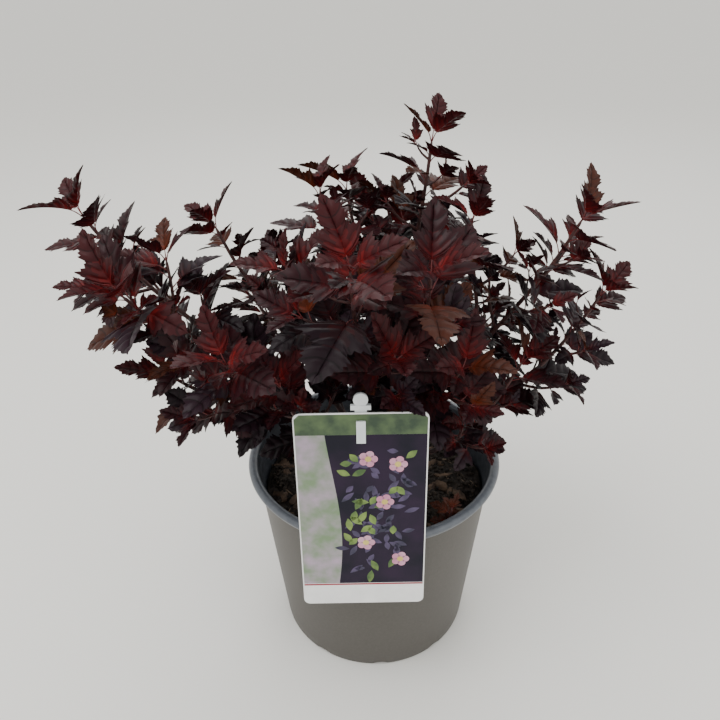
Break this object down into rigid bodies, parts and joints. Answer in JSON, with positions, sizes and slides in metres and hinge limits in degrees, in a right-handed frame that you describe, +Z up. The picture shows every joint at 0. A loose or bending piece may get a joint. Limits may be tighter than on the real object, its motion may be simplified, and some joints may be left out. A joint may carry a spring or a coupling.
{
  "type": "potted ninebark",
  "caption": "Dark-leaved ninebark shrub in a round nursery pot, with spreading leafy shoots, compost and a hanging plant label on a plastic pick.",
  "frame": {"origin": "middle of the pot's underside, on the surface it stands on", "axes": "+Z up; -Y towards the front, where the label hangs; +X to the right seen from the front"},
  "size_m": [0.3683, 0.2801, 0.4039],
  "materials": {
    "pot_plastic": "matte",
    "compost": "matte",
    "label_card": "satin",
    "pick_plastic": "satin",
    "trunk_bark": "matte",
    "bough_bark": "matte",
    "foliage": "matte"
  },
  "bodies": {
    "root": {"bough_back": "bough_bark", "bough_back_left": "bough_bark", "bough_back_right": "bough_bark", "bough_front": "bough_bark", "bough_front_left": "bough_bark", "bough_front_right": "bough_bark", "bough_left_back": "bough_bark", "bough_left_long": "bough_bark", "bough_left_low": "bough_bark", "bough_right_high": "bough_bark", "bough_right_low": "bough_bark", "bough_right_mid": "bough_bark", "bough_top": "bough_bark", "bough_top_left": "bough_bark", "foliage_basal_sprout": "foliage", "foliage_far_left": "foliage", "foliage_front_high": "foliage", "foliage_front_left": "foliage", "foliage_front_low": "foliage", "foliage_front_right": "foliage", "foliage_front_right_low": "foliage", "foliage_left_front": "foliage", "foliage_left_high": "foliage", "foliage_left_low": "foliage", "foliage_left_rear": "foliage", "foliage_left_star": "foliage", "foliage_rear": "foliage", "foliage_rear_left": "foliage", "foliage_rear_left_low": "foliage", "foliage_rear_right": "foliage", "foliage_rear_right_low": "foliage", "foliage_rear_upper": "foliage", "foliage_right_high": "foliage", "foliage_right_inner": "foliage", "foliage_right_low": "foliage", "foliage_right_mid": "foliage", "foliage_right_rim": "foliage", "foliage_top": "foliage", "foliage_top_left": "foliage", "foliage_top_rear": "foliage", "foliage_upper_left": "foliage", "label": "label_card", "label_pick": "pick_plastic", "pot": "pot_plastic", "soil": "compost", "trunk": "trunk_bark"}
  },
  "joints": []
}
